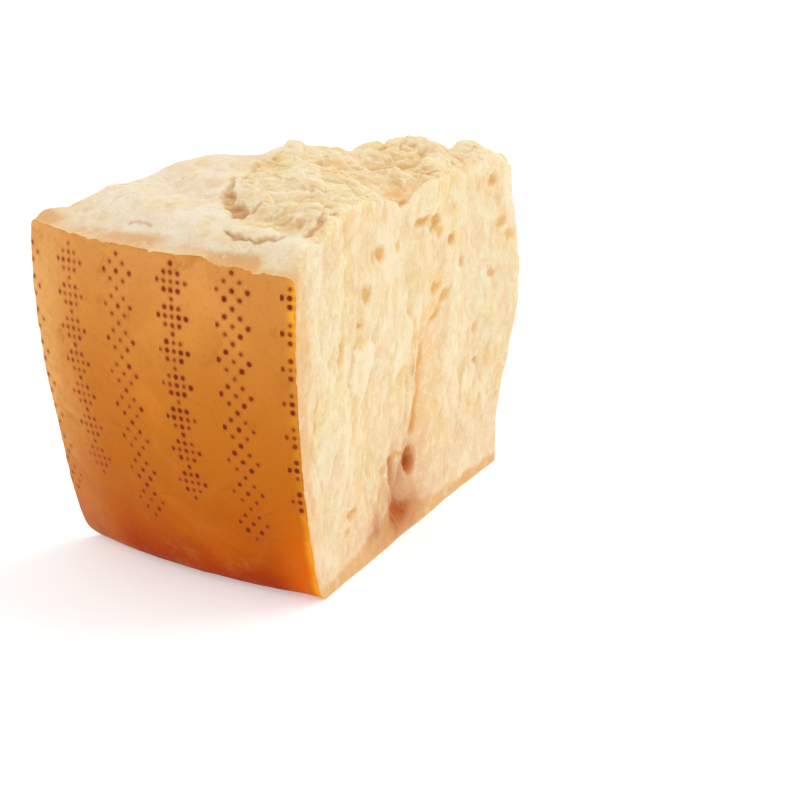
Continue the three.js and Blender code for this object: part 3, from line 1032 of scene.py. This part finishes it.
def edgeColours(spot, angle, radius, height, fromRind, up, crag):
    # the top's front slopes down to the rind: it isn't a cut
    onCut = (1 - up) * (smooth(abs(angle), *edges["side"]) if fromRind < edges["slope"] else 1)
    lip = mix(*edges["lip"], smooth(angle, *edges["lipTurn"]))
    tan = tableShare(tanEdge, angle) * fades(fromRind, lip, edges["lipFade"] * lip)
    tan = (1 - onCut) * max(tan, edges["seamShare"] * fades(fromRind, *edges["seam"]))
    reach = edges["beside"] + wander(spot, sway["beside"])
    beside = tableShare(tanBeside, height) * fades(fromRind, reach, edges["besideFade"] * reach)
    tan += onCut * max(beside, edges["cutSeamShare"] * fades(fromRind, *edges["cutSeam"]))
    band = edges["band"] + edges["bandSwell"] * mound(radius - edges["bandMiddle"], edges["bandReach"])
    band += wander(spot, sway["footBand"])
    foot = (1 - up) * fades(height, band + edges["bandFade"][0], band + edges["bandFade"][1])
    return {
        "blush": onCut * fades(fromRind, *edges["blush"]),
        "chalk": (1 - onCut) * (1 - crag) * smooth(fromRind, *edges["chalk"]),
        "rindSide": clamp(max(tan, foot)),
    }


def breakSurface(form):
    pits = {1: cutPits + randomPits(1), -1: randomPits(-1) + randomPits(-2)}
    cracks = {1: cutCracks, -1: []}
    layers = {name: form.verts.layers.float.new(name) for name in vertexMarks}
    cutTints = {"warmShade": warmShadeCut, "pale": paleAndLitCut, "shadowAndGlow": shadowAndGlowCut}
    topTints = [(tint, fromAbove(side, radius), reach, share)
                for tint, table in {"warmShade": warmShadeTop, "pale": paleAndLitTop}.items()
                for side, radius, reach, share in table]
    moves = []
    for vertex in form.verts:
        kinds = {face.material_index for face in vertex.link_faces}
        angle, radius, height = wheelPlace(vertex.co)
        if height < body["still"]:
            continue
        spot = vertex.co / mm
        normal = vertex.normal
        if kinds == {1}:
            moves.append((vertex, normal * swell(spot, *body["rindSwell"])))
            continue
        side = 1 if angle > 0 else -1
        fromRind = (rindRadius(height) - radius) / mm
        radius, height = radius / mm, height / mm
        up = smooth(normal.z, *body["topUp"]) * smooth(height, *body["topFrom"])
        front = tableShare(cragEdge, angle) + wander(spot, sway["cragEdge"])
        crag = smooth(front - radius, 0, body["cragFade"])
        calm = grows(fromRind, *body["rindCalm"]) * grows(height, *body["footCalm"])
        relief, shade, peach, pit = cutBreak(spot, pits[side], cracks[side], radius, height, fromRind, calm,
                                             shells[side])
        if side < 0:
            peach *= body["leftShare"] * patchy(spot, *body["leftPeach"])
        # painted shade: the cuts a little warmer all over than the top
        found = {"warmShade": body["cutWarmShade"] * (1 - up), "pale": 0.0, "shadowAndGlow": 0.0, "gap": 0.0}
        if side > 0:
            for tint, table in cutTints.items():
                found[tint] = max(found[tint], (1 - up) * clamp(tintAt(table, radius, height)))
            found["shadowAndGlow"] *= mix(body["shadowAndGlowLeast"], 1, patchy(spot, *body["shadowAndGlowPatch"]))
        if up > 0:
            place = (vertex.co.xy - Vector((wheel["axisX"], wheel["axisY"]))) / mm
            topRelief, topShade, scoopShade, gap = topBreak(spot, place, crag)
            topRelief *= grows(radius, *body["thinCalm"]) * smooth(fromRind, *body["topRim"])
            relief = mix(relief, topRelief, up)
            shade = mix(shade, topShade, up)
            peach = mix(peach, scoopShade, up)
            found["gap"] = gap * up
            for tint, middle, reach, share in topTints:
                found[tint] = max(found[tint], up * share * mound((place - middle).length, reach))
        found.update(shade=shade, pit=pit, peach=peach)
        found.update(edgeColours(spot, angle, radius, height, fromRind, up, crag))
        for name, value in found.items():
            vertex[layers[name]] = value
        if len(kinds) > 1:
            moves.append((vertex, chippedMove(spot, normal, angle, height, relief)))
        else:
            moves.append((vertex, normal * relief))
    for vertex, move in moves:
        vertex.co += move * mm
    form.normal_update()


def markHollows(form):
    # how far each vertex lies below or above a smoothed copy of the surface
    # hollow carries the painted shade of hollows, peak the whiter tips
    hollow = form.verts.layers.float["hollow"]
    peak = form.verts.layers.float["peak"]
    copy = form.copy()
    done = 0
    for steps, depth in body["hollowPasses"]:
        for _ in range(steps - done):
            bmesh.ops.smooth_vert(copy, verts=copy.verts, factor=1.0, use_axis_x=True, use_axis_y=True,
                                  use_axis_z=True)
        done = steps
        for vertex, calm in zip(form.verts, copy.verts):
            below = (calm.co - vertex.co).dot(vertex.normal) / (depth * mm)
            vertex[hollow] += body["hollowShare"] * clamp(below)
            vertex[peak] += body["hollowShare"] * clamp(-below)
    copy.free()


def makeBody():
    form, mesh = smoothForm()
    breakSurface(form)
    markHollows(form)
    for face in form.faces:
        face.smooth = True
    form.to_mesh(mesh)
    form.free()
    mesh.name = "wedge"
    piece = addObject("wedge", mesh)
    print("wedge made,", sum(len(f.vertices) - 2 for f in mesh.polygons), "triangles")
    return piece


wedge = makeBody()
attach(wedge, "root")
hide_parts("cheese")

# Plain pale floor
floorSet = {"size": 12.0, "colour": (0.745, 0.765, 0.77, 1), "lift": 0.37, "roughness": 0.9}


def makeFloor():
    form = bmesh.new()
    bmesh.ops.create_grid(form, x_segments=1, y_segments=1, size=floorSet["size"] / 2)
    mesh = bpy.data.meshes.new("floor")
    form.to_mesh(mesh)
    form.free()
    material, tree, shader = newMaterial("floor")
    shader.inputs["Base Color"].default_value = floorSet["colour"]
    shader.inputs["Emission Color"].default_value = (1, 1, 1, 1)
    shader.inputs["Emission Strength"].default_value = floorSet["lift"]
    shader.inputs["Roughness"].default_value = floorSet["roughness"]
    mesh.materials.append(material)
    floor = addObject("floor", mesh)


makeFloor()

# Soft studio light: each sun shines from its place, in metres, towards the wedge
studio = {
    "suns": [
        {"name": "key", "place": (0.35, 0.7, 0.95), "spread": 45, "power": 0.85, "colour": (1, 0.98, 0.95)},
        {"name": "fill", "place": (-0.5, -1.0, 0.6), "spread": 60, "power": 0.22, "colour": (1, 1, 1)},
    ],
    "sky": 0.9,
}


def makeLights():
    for lamp in studio["suns"]:
        data = bpy.data.lights.new(lamp["name"], "SUN")
        data.angle = math.radians(lamp["spread"])
        data.energy = lamp["power"]
        data.color = lamp["colour"]
        light = addObject(lamp["name"], data)
        light.location = lamp["place"]
        light.rotation_euler = (-Vector(lamp["place"])).to_track_quat("-Z", "Y").to_euler()
    world = bpy.data.worlds.new("studio")
    world.use_nodes = True
    world.node_tree.nodes["Background"].inputs["Color"].default_value = (1, 1, 1, 1)
    world.node_tree.nodes["Background"].inputs["Strength"].default_value = studio["sky"]
    bpy.context.scene.world = world
    bpy.context.scene.view_settings.view_transform = "Standard"


makeLights()
print("floor and lights ready")
